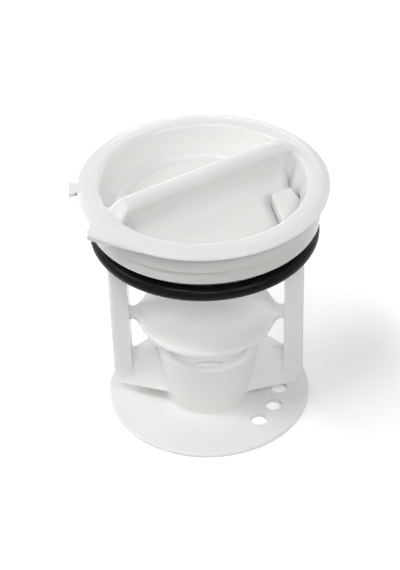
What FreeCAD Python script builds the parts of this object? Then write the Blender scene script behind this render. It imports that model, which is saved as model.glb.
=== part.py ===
"""Washer pump filter: one white moulding with a rubber ring round its cap.

Millimetres. Z is the filter's axis and points up, the base disc's underside
is at Z = 0, and X runs through the two posts.
"""
import FreeCAD, Part
import math
import os
from FreeCAD import Vector

AXIS = Vector(0, 0, 1)
ORIGIN = Vector(0, 0, 0)

# Cap: lip, two bands and the ring's groove
lip_radius = 30.1
lip_overhang = 1.7
lip_edge_height = 0.85
lip_slope_width = 1.9
lip_slope_drop = 0.65
lip_crown_round = 4.0
lip_edge_round = 0.25
lip_root_round = 0.6
rim_width = 5.3
upper_band_height = 4.55
band_step_depth = 0.5
band_step_rise = 0.15
lower_band_height = 3.4
groove_chamfer_width = 2.7
groove_chamfer_height = 2.28
retainer_height = 0.98
retainer_reach = 1.15
skirt_bottom_z = 49.4
cap_wall = 2.3
cavity_round = 1.5

# Rubber ring
ring_cord_diameter = 3.6
ring_inset = 0.05
ring_floor_clearance = 0.05
ring_side_clearance = 0.12

# Grip recess and the bar across it
recess_depth = 8.1
recess_taper = 3.4
recess_floor_thickness = 2.4
recess_floor_round = 2.4
recess_mouth_round = 1.5
bar_angle = 34.0
bar_rise = 2.8
bar_top_width = 5.1
bar_draft_per_side = 1.1
bar_end_inset = 2.7
bar_end_slope_length = 3.2
bar_edge_round = 2.2
bar_end_round = 4.0
bar_lip_round = 1.5
bar_root_round = 1.5
bar_cove_round = 6.0
cove_overlap = 0.5

# Finger stop inside the recess
stop_tip_inset = 3.2
stop_tip_y = 0.2
stop_angle = -77.0
stop_width = 3.8
stop_height = 3.7
stop_edge_round = 0.7

# Pointer and tab on the lip
pointer_reach = 3.0
pointer_tip_angle = -142.5
pointer_tip_width = 1.2
pointer_top_rise = 0.1
pointer_drop = 1.2
tab_angle = 184.0
tab_reach = 1.9
tab_root_width = 3.9
tab_tip_width = 5.4
tab_thickness = 1.0

# Two posts
post_inset = 1.1
post_thickness = 4.8
post_depth = 6.0
post_base_gap = 4.0
post_chamfer_width = 1.4
post_chamfer_height = 3.8
post_outer_round = 1.3
post_overlap = 0.5

# Baffle and its webs
baffle_lift = 4.2
baffle_half_height = 4.2
baffle_edge_thickness = 2.0
web_length = 2.1
web_height = 1.6
web_waist = 1.9
web_waist_share = 0.6
web_flare_width = 9.6
web_post_width = 4.6
web_overlap = 1.5

# Wings between the posts and the tube
wing_height = 9.1
wing_ridge_width = 1.6
wing_post_width = 6.3
wing_tube_width = 14.9
wing_post_inset = 1.5
wing_tube_overlap = 1.55

# Tube and base disc
tube_radius = 12.85
tube_draft = 1.35
tube_wall = 2.1
tube_height = 16.3
tube_foot_round = 0.9
tube_rim_round = 0.9
disc_radius = 26.0
disc_thickness = 1.2
disc_edge_round = 0.55
hole_diameter = 4.3
hole_inset = 7.7
hole_count = 3
hole_first_angle = -45.0
hole_pitch_angle = 21.4

# Radii worked out from the sizes above
upper_band_radius = lip_radius - lip_overhang
lower_band_radius = upper_band_radius - band_step_depth
ring_cord_radius = ring_cord_diameter / 2
ring_middle_radius = lower_band_radius - ring_inset - ring_cord_radius
groove_radius = ring_middle_radius - ring_cord_radius - ring_floor_clearance
retainer_radius = groove_radius + retainer_reach
cavity_radius = groove_radius - cap_wall
recess_mouth_radius = lip_radius - rim_width
recess_floor_radius = recess_mouth_radius - recess_taper
bar_half_length = lip_radius - bar_end_inset
stop_tip_x = recess_floor_radius - stop_tip_inset
pointer_tip_radius = lip_radius + pointer_reach
tab_radius = lip_radius + tab_reach
post_outer_x = retainer_radius - post_inset
post_inner_x = post_outer_x - post_thickness
baffle_radius = post_inner_x - web_length
bore_radius = tube_radius - tube_wall
tube_foot_radius = tube_radius - tube_draft
bore_foot_radius = tube_foot_radius - tube_wall
wing_outer_x = post_outer_x - wing_post_inset
wing_inner_x = bore_foot_radius - wing_tube_overlap
hole_circle_radius = disc_radius - hole_inset

# Heights worked out from the sizes above
post_bottom_z = disc_thickness + post_base_gap
tube_top_z = disc_thickness + tube_height
wing_ridge_z = post_bottom_z + wing_height
baffle_z = tube_top_z + baffle_lift + baffle_half_height
groove_bottom_z = skirt_bottom_z + retainer_height
ring_z = groove_bottom_z + ring_side_clearance + ring_cord_radius
groove_top_z = ring_z + ring_cord_radius + ring_side_clearance
lower_band_bottom_z = groove_top_z + groove_chamfer_height
band_step_z = lower_band_bottom_z + lower_band_height
upper_band_bottom_z = band_step_z + band_step_rise
lip_bottom_z = upper_band_bottom_z + upper_band_height
lip_edge_z = lip_bottom_z + lip_edge_height
lip_top_z = lip_edge_z + lip_slope_drop
recess_floor_z = lip_top_z - recess_depth
cavity_roof_z = recess_floor_z - recess_floor_thickness
bar_top_z = lip_top_z + bar_rise
stop_top_z = recess_floor_z + stop_height

# How far a cutter or a hidden root runs on past the surface it goes through
beyond = 5.0


def point_rz(radius, height):
    """Point of a turned outline, in the XZ plane."""
    return Vector(radius, 0, height)


def polar(radius, angle, height=0.0):
    """Point at a radius and an angle in degrees round the axis."""
    turn = math.radians(angle)
    return Vector(radius * math.cos(turn), radius * math.sin(turn), height)


def face_of(points):
    """Flat face inside a closed outline of straight lines."""
    return Part.Face(Part.makePolygon(list(points) + [points[0]]))


def turned(points):
    """Solid of revolution about the axis from a closed outline."""
    return face_of(points).revolve(ORIGIN, AXIS, 360)


def circles_at(solid, radius, height):
    """Round edges of a turned solid at one radius and height."""
    found = []
    for edge in solid.Edges:
        curve = edge.Curve
        if not isinstance(curve, Part.Circle):
            continue
        if abs(curve.Radius - radius) < 1e-4 and abs(curve.Center.z - height) < 1e-4:
            found.append(edge)
    return found


def is_turned_circle(edge):
    """True for a round edge about the filter's axis."""
    curve = edge.Curve
    if not isinstance(curve, Part.Circle):
        return False
    return math.hypot(curve.Center.x, curve.Center.y) < 1e-4


def lengthwise(points, half_length, angle):
    """Prism along a direction in plan, from an outline of (offset, height) pairs."""
    outline = [Vector(-half_length, offset, height) for offset, height in points]
    prism = face_of(outline).extrude(Vector(2 * half_length, 0, 0))
    prism.rotate(ORIGIN, AXIS, angle)
    return prism


def bar_half_width(height):
    """Half of the grip bar's width at a height, with its draft."""
    share = (bar_top_z - height) / (bar_top_z - recess_floor_z)
    return bar_top_width / 2 + bar_draft_per_side * share


def cap_blank():
    """Cap before the grip recess is cut: lip, bands, groove, skirt and cavity."""
    solid = turned([
        point_rz(0, cavity_roof_z),
        point_rz(cavity_radius, cavity_roof_z),
        point_rz(cavity_radius, skirt_bottom_z),
        point_rz(retainer_radius, skirt_bottom_z),
        point_rz(retainer_radius, groove_bottom_z),
        point_rz(groove_radius, groove_bottom_z),
        point_rz(groove_radius, groove_top_z),
        point_rz(lower_band_radius - groove_chamfer_width, groove_top_z),
        point_rz(lower_band_radius, lower_band_bottom_z),
        point_rz(lower_band_radius, band_step_z),
        point_rz(upper_band_radius, upper_band_bottom_z),
        point_rz(upper_band_radius, lip_bottom_z),
        point_rz(lip_radius, lip_bottom_z),
        point_rz(lip_radius, lip_edge_z),
        point_rz(lip_radius - lip_slope_width, lip_top_z),
        point_rz(0, lip_top_z),
    ])
    solid = solid.makeFillet(cavity_round, circles_at(solid, cavity_radius, cavity_roof_z))
    solid = solid.makeFillet(lip_root_round, circles_at(solid, upper_band_radius, lip_bottom_z))
    crown = circles_at(solid, lip_radius - lip_slope_width, lip_top_z)
    solid = solid.makeFillet(lip_crown_round, crown)
    rim = circles_at(solid, lip_radius, lip_bottom_z) + circles_at(solid, lip_radius, lip_edge_z)
    return solid.makeFillet(min(lip_edge_round, 0.45 * lip_edge_height), rim)


def grip_bar():
    """Bar across the recess, standing above the lip, with a rounded top and ends that slope down."""
    root_z = lip_top_z - beyond
    root = bar_half_width(root_z)
    top = bar_half_width(bar_top_z)
    section = [(-root, root_z), (root, root_z), (top, bar_top_z), (-top, bar_top_z)]
    crest = bar_half_length - bar_end_slope_length
    side = face_of([
        Vector(-bar_half_length, -beyond, root_z),
        Vector(bar_half_length, -beyond, root_z),
        Vector(bar_half_length, -beyond, lip_top_z),
        Vector(crest, -beyond, bar_top_z),
        Vector(-crest, -beyond, bar_top_z),
        Vector(-bar_half_length, -beyond, lip_top_z),
    ]).extrude(Vector(0, 2 * beyond, 0))
    bar = lengthwise(section, bar_half_length, 0).common(side)
    ends = []
    for edge in bar.Edges:
        middle = edge.CenterOfMass
        if abs(middle.y) < 1e-6 and middle.z > bar_top_z - 1e-4:
            ends.append(edge)
    bar = bar.makeFillet(bar_end_round, ends)
    sides = []
    for edge in bar.Edges:
        middle = edge.CenterOfMass
        if abs(middle.y) > 1e-6 and middle.z > lip_top_z + 1e-4:
            sides.append(edge)
    bar = bar.makeFillet(bar_edge_round, sides)
    bar.rotate(ORIGIN, AXIS, bar_angle)
    return bar


def recess_half():
    """Cutter for one finger pocket, beside the grip bar on its left."""
    top_z = bar_top_z + beyond
    bowl = turned([
        point_rz(0, recess_floor_z),
        point_rz(recess_floor_radius, recess_floor_z),
        point_rz(recess_mouth_radius, lip_top_z),
        point_rz(recess_mouth_radius + recess_mouth_round, lip_top_z),
        point_rz(recess_mouth_radius + recess_mouth_round, top_z),
        point_rz(0, top_z),
    ])
    bowl = bowl.makeFillet(recess_floor_round, circles_at(bowl, recess_floor_radius, recess_floor_z))
    bowl = bowl.makeFillet(recess_mouth_round, circles_at(bowl, recess_mouth_radius, lip_top_z))
    low = recess_floor_z - beyond
    side = [
        (bar_half_width(low), low),
        (recess_mouth_radius + 2 * beyond, low),
        (recess_mouth_radius + 2 * beyond, top_z + beyond),
        (bar_half_width(top_z + beyond), top_z + beyond),
    ]
    cutter = bowl.common(lengthwise(side, recess_mouth_radius + 2 * beyond, 0))
    roots = []
    for edge in cutter.Edges:
        middle = edge.CenterOfMass
        on_bar = abs(middle.y - bar_half_width(middle.z)) < 0.2
        if on_bar and middle.z < lip_top_z - recess_mouth_round:
            roots.append(edge)
    cutter = cutter.makeFillet(bar_root_round, roots)
    cutter.rotate(ORIGIN, AXIS, bar_angle)
    return cutter


def bar_cove():
    """Long cove that carries one flank of the grip bar softly over into the recess floor."""
    lean = math.atan(bar_draft_per_side / (bar_top_z - recess_floor_z))
    centre_z = recess_floor_z + bar_cove_round
    centre = bar_half_width(centre_z) + bar_cove_round / math.cos(lean)
    half_lean = math.radians(45) + lean / 2

    def at(offset, height):
        return Vector(-recess_mouth_radius, offset, height)

    top = at(centre - bar_cove_round * math.cos(lean), centre_z - bar_cove_round * math.sin(lean))
    middle = at(
        centre - bar_cove_round * math.cos(half_lean),
        centre_z - bar_cove_round * math.sin(half_lean),
    )
    foot = at(centre, recess_floor_z)
    low_z = recess_floor_z - cove_overlap
    behind = top.y - cove_overlap
    section = Part.Wire([
        Part.Arc(top, middle, foot).toShape(),
        Part.LineSegment(foot, at(centre, low_z)).toShape(),
        Part.LineSegment(at(centre, low_z), at(behind, low_z)).toShape(),
        Part.LineSegment(at(behind, low_z), at(behind, top.z)).toShape(),
        Part.LineSegment(at(behind, top.z), top).toShape(),
    ])
    cove = Part.Face(section).extrude(Vector(2 * recess_mouth_radius, 0, 0))
    limit = turned([
        point_rz(0, low_z),
        point_rz(recess_floor_radius + cove_overlap, low_z),
        point_rz(recess_mouth_radius + cove_overlap, lip_top_z),
        point_rz(0, lip_top_z),
    ])
    cove = cove.common(limit)
    cove.rotate(ORIGIN, AXIS, bar_angle)
    return cove


def finger_stop():
    """Round-ended rib on the recess floor, running into the recess wall."""
    half = stop_width / 2
    length = recess_mouth_radius
    outline = Part.Wire([
        Part.LineSegment(Vector(0, half, 0), Vector(length, half, 0)).toShape(),
        Part.LineSegment(Vector(length, half, 0), Vector(length, -half, 0)).toShape(),
        Part.LineSegment(Vector(length, -half, 0), Vector(0, -half, 0)).toShape(),
        Part.Arc(Vector(0, -half, 0), Vector(-half, 0, 0), Vector(0, half, 0)).toShape(),
    ])
    root_z = recess_floor_z - recess_floor_thickness / 2
    rib = Part.Face(outline).extrude(Vector(0, 0, stop_top_z - root_z))
    rim = [edge for edge in rib.Edges if edge.CenterOfMass.z > stop_top_z - root_z - 1e-6]
    rib = rib.makeFillet(stop_edge_round, rim)
    rib.rotate(ORIGIN, AXIS, stop_angle)
    rib.translate(Vector(stop_tip_x, stop_tip_y, root_z))
    limit = Part.makeCylinder(recess_mouth_radius, stop_top_z, ORIGIN, AXIS)
    return rib.common(limit)


def pointer():
    """Pointer that leaves the lip along a tangent, deepens towards its blunt tip and lies flush on top."""
    tangent_turn = math.degrees(math.acos(lip_radius / pointer_tip_radius))
    tip_turn = math.degrees(pointer_tip_width / pointer_tip_radius)
    start = pointer_tip_angle + tangent_turn
    inside = upper_band_radius - beyond / 2
    outline = [
        polar(inside, start),
        polar(lip_radius, start),
        polar(pointer_tip_radius, pointer_tip_angle),
        polar(pointer_tip_radius - pointer_tip_width / 3, pointer_tip_angle - tip_turn),
        polar(inside, pointer_tip_angle - tip_turn),
    ]
    along = polar(1, start - 90)
    length = (outline[2] - outline[1]).dot(along)
    high = lip_edge_z + pointer_top_rise
    upper = []
    lower = []
    for point in outline:
        drop = pointer_drop * (point - outline[0]).dot(along) / length
        upper.append(Vector(point.x, point.y, high))
        lower.append(Vector(point.x, point.y, lip_bottom_z - drop))
    faces = [face_of(upper), face_of(lower)]
    for index in range(len(outline)):
        follow = (index + 1) % len(outline)
        faces.append(face_of([lower[index], lower[follow], upper[follow], upper[index]]))
    return Part.makeSolid(Part.makeShell(faces))


def lip_tab():
    """Small flared tab that stands out from the lip's edge."""
    bottom_z = lip_bottom_z
    inside = upper_band_radius - beyond / 2
    half_root = tab_root_width / 2
    half_tip = tab_tip_width / 2
    plate = face_of([
        Vector(inside, -half_root, bottom_z),
        Vector(lip_radius, -half_root, bottom_z),
        Vector(tab_radius, -half_tip, bottom_z),
        Vector(tab_radius, half_tip, bottom_z),
        Vector(lip_radius, half_root, bottom_z),
        Vector(inside, half_root, bottom_z),
    ]).extrude(Vector(0, 0, tab_thickness))
    plate.rotate(ORIGIN, AXIS, tab_angle)
    return plate


def post():
    """Post on the +X side, from the wing's underside up to the cavity's roof."""
    half = post_depth / 2
    profile = face_of([
        Vector(post_inner_x, -half, post_bottom_z),
        Vector(post_outer_x - post_chamfer_width, -half, post_bottom_z),
        Vector(post_outer_x, -half, post_bottom_z + post_chamfer_height),
        Vector(post_outer_x, -half, cavity_roof_z + post_overlap),
        Vector(post_inner_x, -half, cavity_roof_z + post_overlap),
    ])
    bar = profile.extrude(Vector(0, post_depth, 0))
    rounded = []
    for edge in bar.Edges:
        middle = edge.CenterOfMass
        if abs(middle.y) > half - 1e-6 and middle.x > post_outer_x - post_chamfer_width + 1e-6:
            if middle.z < cavity_roof_z:
                rounded.append(edge)
    bar = bar.makeFillet(post_outer_round, rounded)
    below = Part.makeCylinder(retainer_radius, skirt_bottom_z + post_overlap, ORIGIN, AXIS)
    above = Part.makeCylinder(cavity_radius + post_overlap, cavity_roof_z + post_overlap, ORIGIN, AXIS)
    return bar.common(below.fuse(above))


def baffle():
    """Lens-shaped baffle with a rounded edge."""
    half_edge = baffle_edge_thickness / 2
    rim = baffle_radius - half_edge
    rise = baffle_half_height - half_edge
    dome_radius = (rim ** 2 + rise ** 2) / (2 * rise)
    middle = rim / 2
    middle_z = baffle_half_height - dome_radius + math.sqrt(dome_radius ** 2 - middle ** 2)

    def at(radius, height):
        return point_rz(radius, baffle_z + height)

    outline = Part.Wire([
        Part.LineSegment(at(0, -baffle_half_height), at(0, baffle_half_height)).toShape(),
        Part.Arc(at(0, baffle_half_height), at(middle, middle_z), at(rim, half_edge)).toShape(),
        Part.Arc(at(rim, half_edge), at(baffle_radius, 0), at(rim, -half_edge)).toShape(),
        Part.Arc(at(rim, -half_edge), at(middle, -middle_z), at(0, -baffle_half_height)).toShape(),
    ])
    return Part.Face(outline).revolve(ORIGIN, AXIS, 360)


def web():
    """Waisted web on the +X side that flares from its post into the baffle's edge."""
    flare = web_flare_width / 2
    waist = web_waist / 2
    wide = web_post_width / 2
    rim = baffle_radius - baffle_edge_thickness / 2
    edge = math.sqrt(rim ** 2 - flare ** 2)
    waist_x = baffle_radius + web_waist_share * web_length
    start = edge - web_overlap
    end = post_inner_x + web_overlap
    low = baffle_z - web_height / 2

    def curve(along, across, next_along, next_across, side):
        bend_along = along + 0.35 * (next_along - along)
        bend_across = min(across, next_across) + 0.25 * abs(across - next_across)
        if across < next_across:
            bend_along = next_along - 0.35 * (next_along - along)
        return Part.Arc(at(along, side * across), at(bend_along, side * bend_across),
                        at(next_along, side * next_across)).toShape()

    def at(along, across):
        return Vector(along, across, low)

    outline = Part.Wire([
        Part.LineSegment(at(start, -flare), at(edge, -flare)).toShape(),
        curve(edge, flare, waist_x, waist, -1),
        curve(waist_x, waist, post_inner_x, wide, -1),
        Part.LineSegment(at(post_inner_x, -wide), at(end, -wide)).toShape(),
        Part.LineSegment(at(end, -wide), at(end, wide)).toShape(),
        Part.LineSegment(at(end, wide), at(post_inner_x, wide)).toShape(),
        curve(waist_x, waist, post_inner_x, wide, 1),
        curve(edge, flare, waist_x, waist, 1),
        Part.LineSegment(at(edge, flare), at(start, flare)).toShape(),
        Part.LineSegment(at(start, flare), at(start, -flare)).toShape(),
    ])
    return Part.Face(outline).extrude(Vector(0, 0, web_height))


def wing():
    """Wedge on the +X side from the tube to the post, widening towards its underside and the tube."""
    def section(x, bottom_width):
        return Part.makePolygon([
            Vector(x, -wing_ridge_width / 2, wing_ridge_z),
            Vector(x, wing_ridge_width / 2, wing_ridge_z),
            Vector(x, bottom_width / 2, post_bottom_z),
            Vector(x, -bottom_width / 2, post_bottom_z),
            Vector(x, -wing_ridge_width / 2, wing_ridge_z),
        ])

    at_tube = section(wing_inner_x, wing_tube_width)
    at_post = section(wing_outer_x, wing_post_width)
    return Part.makeLoft([at_tube, at_post], True, True)


def tube_and_disc():
    """Base disc and tube with a foot of even wall, without the bore."""
    solid = turned([
        point_rz(0, 0),
        point_rz(disc_radius, 0),
        point_rz(disc_radius, disc_thickness),
        point_rz(tube_foot_radius, disc_thickness),
        point_rz(tube_radius, tube_top_z),
        point_rz(0, tube_top_z),
    ])
    solid = solid.makeFillet(tube_foot_round, circles_at(solid, tube_foot_radius, disc_thickness))
    rims = circles_at(solid, disc_radius, 0) + circles_at(solid, disc_radius, disc_thickness)
    solid = solid.makeFillet(disc_edge_round, rims)
    return solid.makeFillet(tube_rim_round, circles_at(solid, tube_radius, tube_top_z))


def bore():
    """Cutter for the tube's bore, flared at the disc's underside."""
    flare = tube_foot_round + disc_thickness
    mouth = bore_foot_radius + flare
    sagitta = flare * (1 - math.sqrt(0.5))
    low = -beyond
    high = tube_top_z + beyond
    flare_start = point_rz(mouth, 0)
    flare_middle = point_rz(bore_foot_radius + sagitta, sagitta)
    flare_end = point_rz(bore_foot_radius, flare)
    rim = point_rz(bore_radius, tube_top_z)
    outline = Part.Wire([
        Part.LineSegment(point_rz(0, low), point_rz(mouth, low)).toShape(),
        Part.LineSegment(point_rz(mouth, low), flare_start).toShape(),
        Part.Arc(flare_start, flare_middle, flare_end).toShape(),
        Part.LineSegment(flare_end, rim).toShape(),
        Part.LineSegment(rim, point_rz(bore_radius, high)).toShape(),
        Part.LineSegment(point_rz(bore_radius, high), point_rz(0, high)).toShape(),
        Part.LineSegment(point_rz(0, high), point_rz(0, low)).toShape(),
    ])
    return Part.Face(outline).revolve(ORIGIN, AXIS, 360)


def disc_holes():
    """Cutters for the row of holes in the base disc."""
    holes = []
    for index in range(hole_count):
        centre = polar(hole_circle_radius, hole_first_angle + index * hole_pitch_angle, -beyond)
        holes.append(Part.makeCylinder(hole_diameter / 2, 2 * beyond, centre, AXIS))
    return holes


def opposite(solid):
    """Copy of a solid turned half a turn round the axis."""
    copy = solid.copy()
    copy.rotate(ORIGIN, AXIS, 180)
    return copy


def cap_with_grip():
    """Cap with its grip bar blended into the lip, the two pockets, the stop, the pointer and the tab."""
    cap = cap_blank().fuse(grip_bar())
    foot = []
    for edge in cap.Edges:
        box = edge.BoundBox
        level = abs(box.ZMin - lip_top_z) < 1e-4 and abs(box.ZMax - lip_top_z) < 1e-4
        if level and box.XLength < 2 * bar_half_length and not is_turned_circle(edge):
            foot.append(edge)
    cap = cap.makeFillet(bar_lip_round, foot)
    pocket = recess_half()
    cap = cap.fuse([pointer(), lip_tab()]).cut([pocket, opposite(pocket)])
    cove = bar_cove()
    return cap.fuse([cove, opposite(cove), finger_stop()])


def foot_frame():
    """Base disc, tube and wings, with the bore and the disc's holes."""
    solid = tube_and_disc().fuse([wing(), opposite(wing())])
    solid = solid.cut([bore()] + disc_holes())
    return solid.makeFillet(tube_rim_round, circles_at(solid, bore_radius, tube_top_z))


def filter_body():
    """The whole white moulding."""
    pieces = [foot_frame(), baffle()]
    for side in (post(), web()):
        pieces += [side, opposite(side)]
    return cap_with_grip().fuse(pieces).removeSplitter()


def seal_ring():
    """Rubber ring in the cap's groove."""
    return Part.makeTorus(ring_middle_radius, ring_cord_radius, Vector(0, 0, ring_z), AXIS)


def main():
    os.makedirs("parts", exist_ok=True)
    for name, shape in (("filter_body", filter_body()), ("seal_ring", seal_ring())):
        volume = round(shape.Volume, 1)
        print(name, "solids", len(shape.Solids), "valid", shape.isValid(), "volume", volume)
        shape.exportStep("parts/" + name + ".step")


main()
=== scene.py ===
"""Washer pump filter: last small forms of its moulding, materials, floor, light and camera."""
import math

import bmesh
import bpy
from mathutils import Matrix, Vector


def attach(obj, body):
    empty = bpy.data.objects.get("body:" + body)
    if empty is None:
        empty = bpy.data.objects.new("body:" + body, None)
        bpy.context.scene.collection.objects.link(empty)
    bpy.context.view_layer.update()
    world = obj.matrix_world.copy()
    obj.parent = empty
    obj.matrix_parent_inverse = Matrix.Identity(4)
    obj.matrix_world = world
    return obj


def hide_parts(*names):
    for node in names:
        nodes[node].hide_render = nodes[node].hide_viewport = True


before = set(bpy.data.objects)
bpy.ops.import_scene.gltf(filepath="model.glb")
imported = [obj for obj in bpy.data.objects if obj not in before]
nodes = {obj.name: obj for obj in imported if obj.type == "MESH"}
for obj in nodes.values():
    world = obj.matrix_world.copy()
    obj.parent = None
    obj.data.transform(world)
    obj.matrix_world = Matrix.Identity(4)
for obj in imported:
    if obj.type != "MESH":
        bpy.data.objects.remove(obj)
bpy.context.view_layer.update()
scene = bpy.context.scene

# All lengths are in metres, in the frame of the CAD part
WHITE = (1.0, 1.0, 1.0)

# White plastic: shades by position on their ramp, noises, bumps and surface
PLASTIC_SHADES = ((0.30, (0.864, 0.862, 0.848)), (0.70, (0.888, 0.886, 0.873)))
PLASTIC_CLOUD = dict(Scale=55.0, Detail=3.0, Roughness=0.5)
PLASTIC_PATCH = dict(Scale=140.0, Detail=4.0, Roughness=0.55)
PLASTIC_GRAIN = dict(Scale=2600.0, Detail=2.0, Roughness=0.6)
PLASTIC_WAVE = dict(Scale=90.0, Detail=1.0, Roughness=0.4)
PLASTIC_GRAIN_BUMP = dict(Strength=0.05, Distance=0.0001)
PLASTIC_WAVE_BUMP = dict(Strength=0.06, Distance=0.0006)
PLASTIC_ROUGHNESS = dict(To_Min=0.14, To_Max=0.26)
PLASTIC_SURFACE = dict(
    IOR=1.49, Specular_IOR_Level=0.32, Subsurface_Weight=0.5,
    Subsurface_Radius=(1.0, 0.97, 0.90), Subsurface_Scale=0.0015)

# Painted crease shade on the cap, from ambient occlusion: reach, darkest stop and the position
# where it is clear
HOLLOW_SHADE = (0.0030, (0.40, (0.62, 0.62, 0.65)), 0.95)
SEAM_SHADE = (0.0007, (0.55, (0.58, 0.58, 0.59)), 0.90)
SHADE_SAMPLES = 8
CAP_FOOT = dict(From_Min=0.0460, From_Max=0.0500)

# Painted shade on the bands above the ring, under the lip: its colour, and where it starts and
# is full
BAND_SHADE = (0.77, 0.765, 0.745)
BAND_RADIUS = dict(From_Min=0.0262, From_Max=0.0270)
BAND_FOOT = dict(From_Min=0.0535, From_Max=0.0545)
BAND_TOP = dict(From_Min=0.0648, From_Max=0.0645)

# Black rubber
RUBBER_SHADES = ((0.35, (0.0030, 0.0030, 0.0032)), (0.75, (0.0052, 0.0052, 0.0055)))
RUBBER_BLOOM = dict(Scale=240.0, Detail=4.0, Roughness=0.6)
RUBBER_GRAIN = dict(Scale=3200.0, Detail=2.0, Roughness=0.6)
RUBBER_GRAIN_BUMP = dict(Strength=0.10, Distance=0.0001)
RUBBER_ROUGHNESS = dict(To_Min=0.20, To_Max=0.34)
RUBBER_SURFACE = dict(IOR=1.50, Specular_IOR_Level=0.08)

# Floor: painted light, a white glow seen by camera, glossy and transmission rays, which grows
# with the distance from a centre on the shadow's side and washes out faint shadows
FLOOR_COLOUR = (0.88, 0.875, 0.895, 1.0)
FLOOR_SIZE = 2.4
FLOOR_HEIGHT = -0.00015
GLOW_CENTRE = (0.034, 0.008, 0.0)
GLOW_SPREAD = dict(From_Min=0.014, From_Max=0.090, To_Min=0.230, To_Max=0.85)

# Grip bar: heights above the lip's top fall to nothing between the two places of a sink
LIP_TOP = 0.0661
BAR_ANGLE = math.radians(34.0)
BAR_REACH = 0.0055
RIGHT_SINK = (0.0190, 0.0284)
LEFT_SINK = (0.0215, 0.0258)
CUT_STEP = 0.0006
CUT_TOLERANCE = 1e-7

# Finger stop: outline from above, clockwise, which runs on into the recess wall
STOP_OUTLINE = (
    (0.01630, -0.00024), (0.016275, 0.000505), (0.016529, 0.001204), (0.017027, 0.001757),
    (0.01760, 0.00205), (0.02105, 0.00310), (0.02460, -0.00500), (0.01956, -0.01436),
)
STOP_FOOT = 0.0570
STOP_TOP = 0.06173
STOP_ROUND = 0.0007
ROUND_STEPS = 6

# Webs: half an outline on the right side, from inside the baffle to inside the post
WEB_MIDDLE = 0.0259
WEB_HALF = 0.00081
WEB_ROOT = (0.0145, 0.0042)
FLARE_START = (0.01684, 0.0042)
FLARE_BEND = (0.01744, 0.0018)
WEB_WAIST = (0.01885, 0.0018)
WEB_POST = ((0.01925, 0.0020), (0.01945, 0.0024), (0.0205, 0.0024))
FLARE_STEPS = 8

WELD_DISTANCE = 2e-6
SHARP_ANGLE = math.radians(30.0)

# Lamps: name, place, width and watts
LAMP_TARGET = (0.0, 0.0, 0.04)
LAMPS = (
    ("upper_front_left", (-0.3239, -0.4145, 1.1186), 0.2, 3.15),
    ("upper_front", (0.0296, -0.848, 0.8885), 0.24, 2.60),
    ("high_front_right", (0.6, -0.6, 0.8885), 0.4, 3.30),
    ("high_left", (-0.8632, 0, 0.8736), 0.4, 3.60),
    ("low_right", (1.1276, 0, 0.4504), 0.55, 0.80),
    ("low_back_right", (0.7974, 0.7974, 0.4504), 0.55, 2.20),
    ("low_back", (0, 1.1276, 0.4504), 0.55, 1.80),
    ("low_back_left", (-0.7974, 0.7974, 0.4504), 0.55, 3.10),
    ("low_left", (-1.1276, 0, 0.4504), 0.55, 0.80),
    ("low_front_left", (-0.7974, -0.7974, 0.4504), 0.55, 1.00),
)
BORE_LAMP = ("bore", (0.0, 0.0, 0.0006), 0.0180, 0.00056)

# Camera at the photograph's angle, for an image of 400 by 570 pixels
VIEW_ELEVATION = math.radians(38.013)
VIEW_AZIMUTH = math.radians(2.0)
VIEW_ROLL = math.radians(-1.693)
VIEW_DISTANCE = 0.422386
VIEW_TARGET = Vector((-0.00152, -0.00005, 0.034469))
FOCAL_PIXELS = 1700.0
IMAGE_HEIGHT = 570.0
SENSOR_WIDTH = 36.0
CLIP_START = 0.01
CLIP_END = 50.0


# Node helpers

def new_material(name):
    """Empty node material with its output node."""
    material = bpy.data.materials.new(name)
    material.use_nodes = True
    tree = material.node_tree
    tree.nodes.clear()
    output = tree.nodes.new("ShaderNodeOutputMaterial")
    return material, tree, output


def add(tree, kind, **inputs):
    """Node of a kind with its named input values set."""
    node = tree.nodes.new(kind)
    for name, value in inputs.items():
        node.inputs[name.replace("_", " ")].default_value = value
    return node


def object_place(tree):
    """Socket with the place on the object."""
    return tree.nodes.new("ShaderNodeTexCoord").outputs["Object"]


def noise(tree, place, settings):
    """Noise value over a place socket."""
    node = add(tree, "ShaderNodeTexNoise", **settings)
    tree.links.new(place, node.inputs["Vector"])
    return node.outputs["Fac"]


def bump(tree, height, settings, normal=None):
    """Normal bumped by a height socket, on top of another normal where one is given."""
    node = add(tree, "ShaderNodeBump", **settings)
    tree.links.new(height, node.inputs["Height"])
    if normal:
        tree.links.new(normal, node.inputs["Normal"])
    return node.outputs["Normal"]


def ramp(tree, source, stops):
    """Colour ramp over a source socket, from two (position, colour) pairs."""
    node = tree.nodes.new("ShaderNodeValToRGB")
    for element, (position, colour) in zip(node.color_ramp.elements, stops):
        element.position = position
        element.color = (*colour, 1.0)
    tree.links.new(source, node.inputs["Fac"])
    return node.outputs["Color"]


def mapped(tree, source, ends):
    """Source socket mapped from one range to another, 0 to 1 where an end is not given."""
    node = add(tree, "ShaderNodeMapRange", **ends)
    tree.links.new(source, node.inputs["Value"])
    return node.outputs["Result"]


def combined(tree, operation, first, second):
    """Result of a maths operation on two value sockets."""
    node = tree.nodes.new("ShaderNodeMath")
    node.operation = operation
    tree.links.new(first, node.inputs[0])
    tree.links.new(second, node.inputs[1])
    return node.outputs[0]


def multiplied(tree, first, second, share=None):
    """Product of two colour sockets, or a share of it where a socket gives one."""
    node = tree.nodes.new("ShaderNodeMix")
    node.data_type = "RGBA"
    node.blend_type = "MULTIPLY"
    node.inputs[0].default_value = 1.0
    if share:
        tree.links.new(share, node.inputs[0])
    tree.links.new(first, node.inputs[6])
    tree.links.new(second, node.inputs[7])
    return node.outputs[2]


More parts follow.
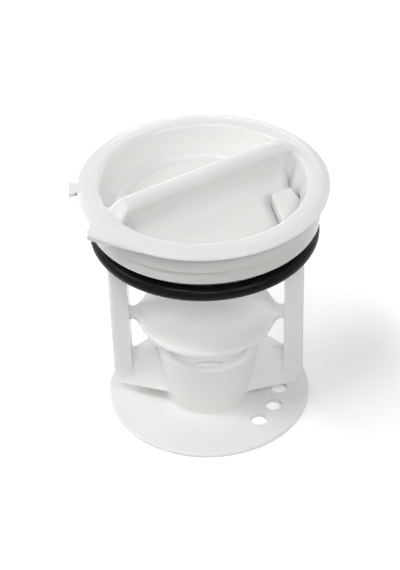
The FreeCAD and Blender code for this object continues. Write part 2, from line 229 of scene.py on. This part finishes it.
def seen_rays(tree):
    """1 for the rays that look at the background: camera, glossy and transmission rays."""
    path = tree.nodes.new("ShaderNodeLightPath")
    result = path.outputs["Is Camera Ray"]
    for kind in ("Is Glossy Ray", "Is Transmission Ray"):
        result = combined(tree, "MAXIMUM", result, path.outputs[kind])
    return result


# Materials

def band_shade_mask(tree, place, height):
    """1 on the bands above the ring, which sit in the pump housing, where shade is painted, and
    0 elsewhere.
    """
    flat = tree.nodes.new("ShaderNodeVectorMath")
    flat.operation = "MULTIPLY"
    flat.inputs[1].default_value = (1.0, 1.0, 0.0)
    tree.links.new(place, flat.inputs[0])
    radius = tree.nodes.new("ShaderNodeVectorMath")
    radius.operation = "LENGTH"
    tree.links.new(flat.outputs["Vector"], radius.inputs[0])
    result = mapped(tree, radius.outputs["Value"], BAND_RADIUS)
    for ends in (BAND_FOOT, BAND_TOP):
        result = combined(tree, "MULTIPLY", result, mapped(tree, height, ends))
    return result


def crease_shade(tree, reach, darkest, clear):
    """Painted shade: colour that falls to its darkest where the surface is closed in within a
    reach.
    """
    node = add(tree, "ShaderNodeAmbientOcclusion", Distance=reach)
    node.samples = SHADE_SAMPLES
    node.only_local = True
    return ramp(tree, node.outputs["AO"], (darkest, (clear, WHITE)))


def white_plastic():
    """Moulded polypropylene: white, a little translucent, satin with faint flow marks, with
    painted shade in the cap's creases and on the bands under the lip.
    """
    material, tree, output = new_material("white_plastic")
    shader = add(tree, "ShaderNodeBsdfPrincipled", **PLASTIC_SURFACE)
    place = object_place(tree)
    split = tree.nodes.new("ShaderNodeSeparateXYZ")
    tree.links.new(place, split.inputs["Vector"])
    height = split.outputs["Z"]

    colour = ramp(tree, noise(tree, place, PLASTIC_CLOUD), PLASTIC_SHADES)
    # Painted shade in the cap's creases from ambient occlusion, none below the cap
    creases = multiplied(
        tree, crease_shade(tree, *HOLLOW_SHADE), crease_shade(tree, *SEAM_SHADE))
    shaded = multiplied(tree, colour, creases, mapped(tree, height, CAP_FOOT))
    # Painted shade darkens the bands under the lip
    band_shade = ramp(tree, band_shade_mask(tree, place, height), ((0.0, WHITE), (1.0, BAND_SHADE)))
    tree.links.new(multiplied(tree, shaded, band_shade), shader.inputs["Base Color"])

    patches = mapped(tree, noise(tree, place, PLASTIC_PATCH), PLASTIC_ROUGHNESS)
    tree.links.new(patches, shader.inputs["Roughness"])

    fine = bump(tree, noise(tree, place, PLASTIC_GRAIN), PLASTIC_GRAIN_BUMP)
    broad = bump(tree, noise(tree, place, PLASTIC_WAVE), PLASTIC_WAVE_BUMP, fine)
    tree.links.new(broad, shader.inputs["Normal"])
    tree.links.new(shader.outputs["BSDF"], output.inputs["Surface"])
    return material


def black_rubber():
    """Smooth black rubber with a soft sheen and a faint bloom."""
    material, tree, output = new_material("black_rubber")
    shader = add(tree, "ShaderNodeBsdfPrincipled", **RUBBER_SURFACE)
    place = object_place(tree)

    bloom = noise(tree, place, RUBBER_BLOOM)
    tree.links.new(ramp(tree, bloom, RUBBER_SHADES), shader.inputs["Base Color"])
    tree.links.new(mapped(tree, bloom, RUBBER_ROUGHNESS), shader.inputs["Roughness"])

    fine = bump(tree, noise(tree, place, RUBBER_GRAIN), RUBBER_GRAIN_BUMP)
    tree.links.new(fine, shader.inputs["Normal"])
    tree.links.new(shader.outputs["BSDF"], output.inputs["Surface"])
    return material


def pale_floor():
    """White table that stays white to the camera and keeps the object's near shadow, with
    painted light that grows away from the shadow's side.
    """
    material, tree, output = new_material("pale_floor")
    diffuse = add(tree, "ShaderNodeBsdfDiffuse", Color=FLOOR_COLOUR)
    glow = add(tree, "ShaderNodeEmission", Color=(*WHITE, 1.0))
    distance = tree.nodes.new("ShaderNodeVectorMath")
    distance.operation = "DISTANCE"
    distance.inputs[1].default_value = GLOW_CENTRE
    tree.links.new(object_place(tree), distance.inputs[0])
    spread = mapped(tree, distance.outputs["Value"], GLOW_SPREAD)
    strength = combined(tree, "MULTIPLY", seen_rays(tree), spread)
    tree.links.new(strength, glow.inputs["Strength"])
    both = tree.nodes.new("ShaderNodeAddShader")
    tree.links.new(diffuse.outputs["BSDF"], both.inputs[0])
    tree.links.new(glow.outputs["Emission"], both.inputs[1])
    tree.links.new(both.outputs["Shader"], output.inputs["Surface"])
    return material


def dress(mesh, material):
    """Give a mesh its only material."""
    mesh.materials.clear()
    mesh.materials.append(material)


dress(nodes["seal_ring"].data, black_rubber())


# Moulding: copy of the CAD node with the bar's ends lowered, a wider stop and flared webs

bar_along = Vector((math.cos(BAR_ANGLE), math.sin(BAR_ANGLE), 0.0))
bar_across = Vector((-math.sin(BAR_ANGLE), math.cos(BAR_ANGLE), 0.0))


def height_share(place):
    """Share of its height above the lip that the bar keeps at a place along it."""
    start, end = RIGHT_SINK if place > 0.0 else LEFT_SINK
    step = min(max((abs(place) - start) / (end - start), 0.0), 1.0)
    return 1.0 - step * step * (3.0 - 2.0 * step)


def cut_places(start, end):
    """Places from start to end, a cut step apart."""
    return [start + CUT_STEP * i for i in range(int((end - start) / CUT_STEP) + 1)]


def lower_bar(edit):
    """Cut the bar's ends into short lengths and lower them into the lip."""
    for place in cut_places(*RIGHT_SINK) + [-place for place in cut_places(*LEFT_SINK)]:
        faces = [face for face in edit.faces if max(vert.co.z for vert in face.verts) > LIP_TOP]
        edges = dict.fromkeys(edge for face in faces for edge in face.edges)
        verts = dict.fromkeys(vert for face in faces for vert in face.verts)
        bmesh.ops.bisect_plane(
            edit, geom=[*verts, *edges, *faces], dist=CUT_TOLERANCE,
            plane_co=bar_along * place, plane_no=bar_along)
    for vert in edit.verts:
        rise = vert.co.z - LIP_TOP
        if rise > 0.0 and abs(vert.co.dot(bar_across)) < BAR_REACH:
            vert.co.z = LIP_TOP + rise * height_share(vert.co.dot(bar_along))


def closed_solid(rings):
    """Closed solid through rings of (x, y, z) points, from its foot to its top."""
    edit = bmesh.new()
    layers = [[edit.verts.new(point) for point in ring] for ring in rings]
    edit.faces.new(layers[0])
    edit.faces.new(layers[-1])
    for low, high in zip(layers, layers[1:]):
        for i, foot in enumerate(low):
            edit.faces.new((low[i - 1], foot, high[i], high[i - 1]))
    bmesh.ops.recalc_face_normals(edit, faces=edit.faces[:])
    return edit


def inset_ring(outline, height, inset):
    """Convex clockwise outline at a height, moved inwards by an inset."""
    ring = []
    for i, point in enumerate(outline):
        here = Vector(point)
        before = (here - Vector(outline[i - 1])).normalized()
        after = (Vector(outline[(i + 1) % len(outline)]) - here).normalized()
        inwards = Vector((before.y + after.y, -before.x - after.x))
        moved = here + inset / (1.0 + before.dot(after)) * inwards
        ring.append((moved.x, moved.y, height))
    return ring


def finger_stop():
    """Wide finger stop with rounded upper edges, which encloses the CAD one."""
    rings = [inset_ring(STOP_OUTLINE, STOP_FOOT, 0.0)]
    for i in range(ROUND_STEPS + 1):
        turn = math.radians(90.0 * i / ROUND_STEPS)
        height = STOP_TOP - STOP_ROUND * (1.0 - math.sin(turn))
        rings.append(inset_ring(STOP_OUTLINE, height, STOP_ROUND * (1.0 - math.cos(turn))))
    return closed_solid(rings)


def flared_web(side):
    """Web plate on one side that sweeps into the baffle's edge and encloses the CAD one."""
    start, bend, waist = Vector(FLARE_START), Vector(FLARE_BEND), Vector(WEB_WAIST)
    half = [WEB_ROOT]
    for i in range(FLARE_STEPS + 1):
        step = i / FLARE_STEPS
        half.append(start.lerp(bend, step).lerp(bend.lerp(waist, step), step))
    half.extend(WEB_POST)
    outline = [(side * x, y) for x, y in half] + [(side * x, -y) for x, y in reversed(half)]
    heights = (WEB_MIDDLE - WEB_HALF, WEB_MIDDLE + WEB_HALF)
    return closed_solid([[(x, y, height) for x, y in outline] for height in heights])


def unite(piece, edit):
    """Join a closed solid to a piece's mesh."""
    mesh = bpy.data.meshes.new("joined")
    edit.to_mesh(mesh)
    edit.free()
    joined = bpy.data.objects.new("joined", mesh)
    scene.collection.objects.link(joined)
    union = piece.modifiers.new("union", "BOOLEAN")
    union.operation = "UNION"
    union.solver = "EXACT"
    union.object = joined
    whole = bpy.data.meshes.new_from_object(
        piece.evaluated_get(bpy.context.evaluated_depsgraph_get()))
    piece.modifiers.clear()
    piece.data = whole
    bpy.data.objects.remove(joined)
    bpy.data.meshes.remove(mesh)


def moulding():
    """Moulding that is shown in place of its CAD node."""
    mesh = nodes["filter_body"].data.copy()
    mesh.name = "moulding"
    edit = bmesh.new()
    edit.from_mesh(mesh)
    bmesh.ops.remove_doubles(edit, verts=edit.verts[:], dist=WELD_DISTANCE)
    lower_bar(edit)
    edit.to_mesh(mesh)
    edit.free()
    if "custom_normal" in mesh.attributes:
        mesh.attributes.remove(mesh.attributes["custom_normal"])
    dress(mesh, white_plastic())
    piece = bpy.data.objects.new("moulding", mesh)
    scene.collection.objects.link(piece)
    for form in (finger_stop(), flared_web(1), flared_web(-1)):
        unite(piece, form)
    mesh = piece.data
    mesh.polygons.foreach_set("use_smooth", [True] * len(mesh.polygons))
    mesh.set_sharp_from_angle(angle=SHARP_ANGLE)
    even = piece.modifiers.new("even_normals", "WEIGHTED_NORMAL")
    even.keep_sharp = True
    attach(piece, "root")
    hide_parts("filter_body")


moulding()


# Floor, and a world that is white where it is seen and gives no light of its own

bpy.ops.mesh.primitive_plane_add(size=FLOOR_SIZE, location=(0.0, 0.0, FLOOR_HEIGHT))
floor = bpy.context.object
floor.name = "floor"
floor.data.materials.append(pale_floor())

world = bpy.data.worlds.new("studio")
world.use_nodes = True
scene.world = world
sky = world.node_tree
sky.nodes.clear()
sky_out = sky.nodes.new("ShaderNodeOutputWorld")
backdrop = add(sky, "ShaderNodeBackground", Color=(*WHITE, 1.0))
sky.links.new(seen_rays(sky), backdrop.inputs["Strength"])
sky.links.new(backdrop.outputs["Background"], sky_out.inputs["Surface"])


# Lamps

def area_lamp(name, place, width, power, shape="SQUARE"):
    """Soft lamp that faces the middle of the filter."""
    data = bpy.data.lights.new(name, "AREA")
    data.shape = shape
    data.size = width
    data.energy = power
    lamp = bpy.data.objects.new(name, data)
    scene.collection.objects.link(lamp)
    lamp.location = place
    aim = Vector(LAMP_TARGET) - Vector(place)
    lamp.rotation_euler = aim.to_track_quat("-Z", "Y").to_euler()


for settings in LAMPS:
    area_lamp(*settings)

# Light that the pale tube lets through to the table inside it
area_lamp(*BORE_LAMP, shape="DISK")


# Camera

forward = Vector((
    -math.sin(VIEW_AZIMUTH) * math.cos(VIEW_ELEVATION),
    math.cos(VIEW_AZIMUTH) * math.cos(VIEW_ELEVATION),
    -math.sin(VIEW_ELEVATION),
))
level_right = Vector((math.cos(VIEW_AZIMUTH), math.sin(VIEW_AZIMUTH), 0.0))
level_up = level_right.cross(forward)
right = math.cos(VIEW_ROLL) * level_right + math.sin(VIEW_ROLL) * level_up
up = math.cos(VIEW_ROLL) * level_up - math.sin(VIEW_ROLL) * level_right
camera_data = bpy.data.cameras.new("camera")
camera_data.sensor_fit = "AUTO"
camera_data.sensor_width = SENSOR_WIDTH
camera_data.lens = FOCAL_PIXELS / IMAGE_HEIGHT * SENSOR_WIDTH
camera_data.clip_start = CLIP_START
camera_data.clip_end = CLIP_END
camera = bpy.data.objects.new("camera", camera_data)
scene.collection.objects.link(camera)
turn = Matrix((right, up, -forward)).transposed().to_4x4()
camera.matrix_world = Matrix.Translation(VIEW_TARGET - VIEW_DISTANCE * forward) @ turn
scene.camera = camera

scene.view_settings.view_transform = "Standard"
